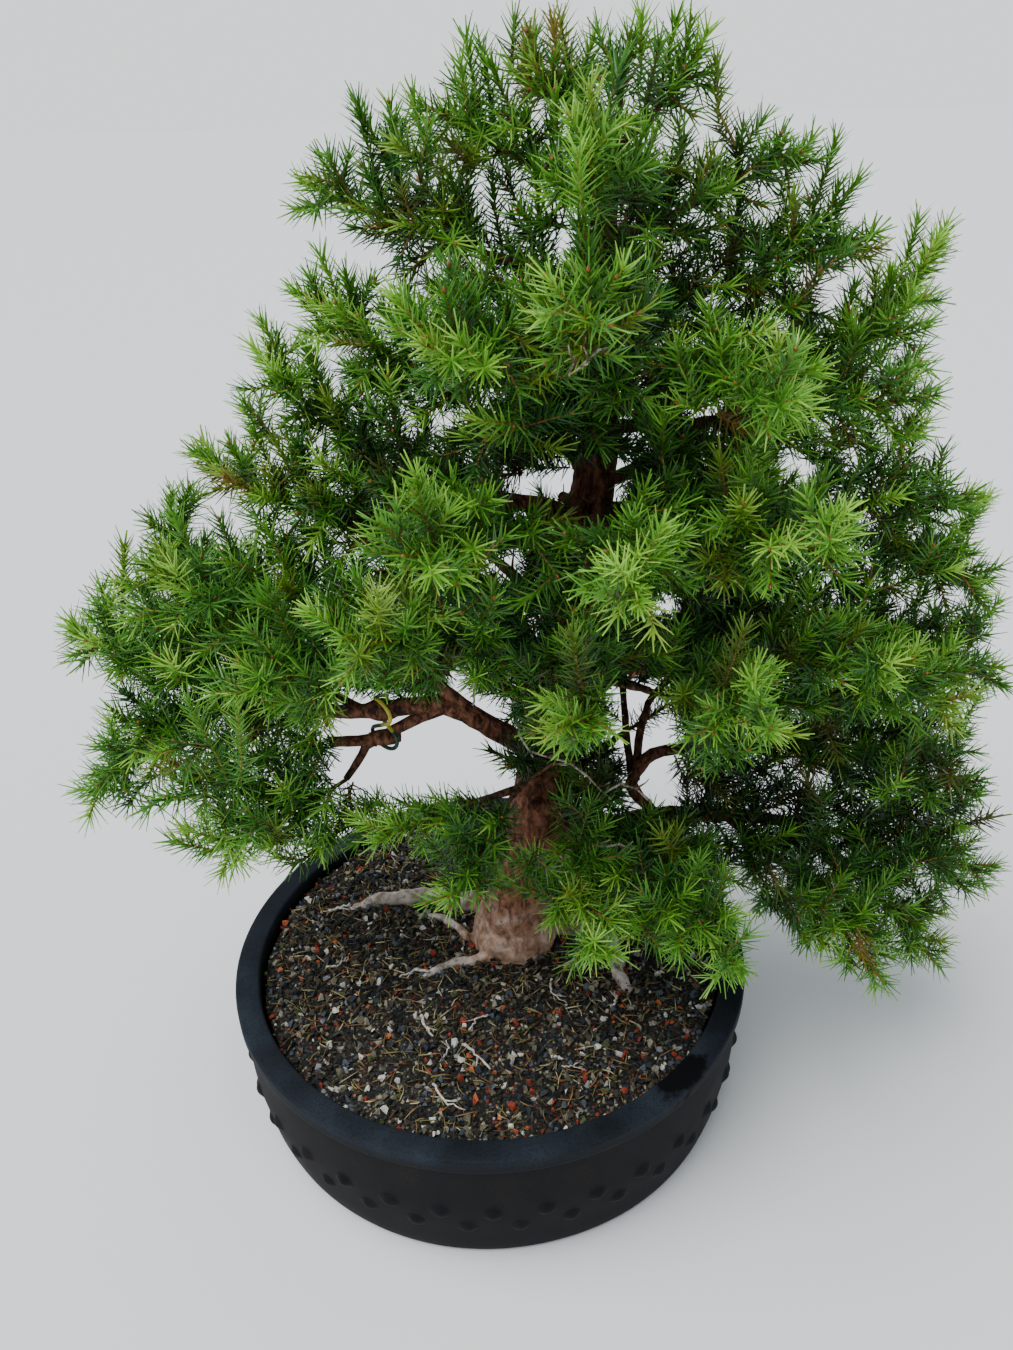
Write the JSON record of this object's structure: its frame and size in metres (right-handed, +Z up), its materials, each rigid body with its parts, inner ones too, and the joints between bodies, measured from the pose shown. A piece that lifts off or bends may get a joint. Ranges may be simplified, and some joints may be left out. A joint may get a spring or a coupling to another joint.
{
  "type": "spruce bonsai",
  "caption": "Informal upright spruce bonsai with tiered sprays of short green needles, growing from gritty soil in a round dark drum pot with a flat rim and nail-head bosses.",
  "frame": {"origin": "middle of the pot's flat base, on the surface that it stands on", "axes": "+Z up along the pot's axis, +X to the right as seen from the tree's front, -Y towards the viewer at the tree's front"},
  "size_m": [0.4726, 0.2983, 0.524],
  "materials": {
    "stoneware": "satin",
    "grit": "matte",
    "bark": "matte",
    "needles": "satin",
    "screen_plastic": "matte",
    "tie_plastic": "satin",
    "wire_metal": "matte"
  },
  "bodies": {
    "root": {"pot": "stoneware", "soil": "grit", "trunk": "bark", "drain_screen_left": "screen_plastic", "drain_screen_right": "screen_plastic", "branch_tie": "tie_plastic", "training_wire": "wire_metal", "spray_right_low": "needles", "spray_right_low_front": "needles", "spray_right_low_outer": "needles", "spray_fork_right": "needles", "spray_fork_back_right": "needles", "spray_fork_back": "needles", "spray_front_right_low": "needles", "spray_front_low": "needles", "spray_front_left_low": "needles", "spray_front_left_inner": "needles", "spray_back_low_right": "needles", "spray_back_low_left": "needles", "spray_left_low": "needles", "spray_left_low_drop": "needles", "spray_left_low_outer": "needles", "spray_left_low_rise": "needles", "spray_left_low_back": "needles", "spray_left_low_fork": "needles", "spray_left_low_front": "needles", "spray_front_left_mid": "needles", "spray_front_mid": "needles", "spray_front_right_mid": "needles", "spray_wired": "needles", "spray_right_mid": "needles", "spray_right_mid_front": "needles", "spray_back_mid": "needles", "spray_back_left_mid": "needles", "spray_back_right_mid": "needles", "spray_left_mid": "needles", "spray_left_mid_rise": "needles", "spray_front_left_high": "needles", "spray_front_high": "needles", "spray_front_right_high": "needles", "spray_right_high": "needles", "spray_right_high_rise": "needles", "spray_back_high": "needles", "spray_back_right_high": "needles", "spray_right_upper": "needles", "spray_right_upper_low": "needles", "spray_left_upper": "needles", "spray_front_left_upper": "needles", "spray_front_upper": "needles", "spray_front_right_upper": "needles", "spray_back_upper": "needles", "spray_left_top": "needles", "spray_right_top": "needles", "spray_front_top": "needles", "spray_back_top": "needles", "spray_right_crest": "needles", "spray_left_crest": "needles", "spray_leader_left": "needles", "spray_leader_right": "needles", "spray_leader": "needles"}
  },
  "joints": []
}
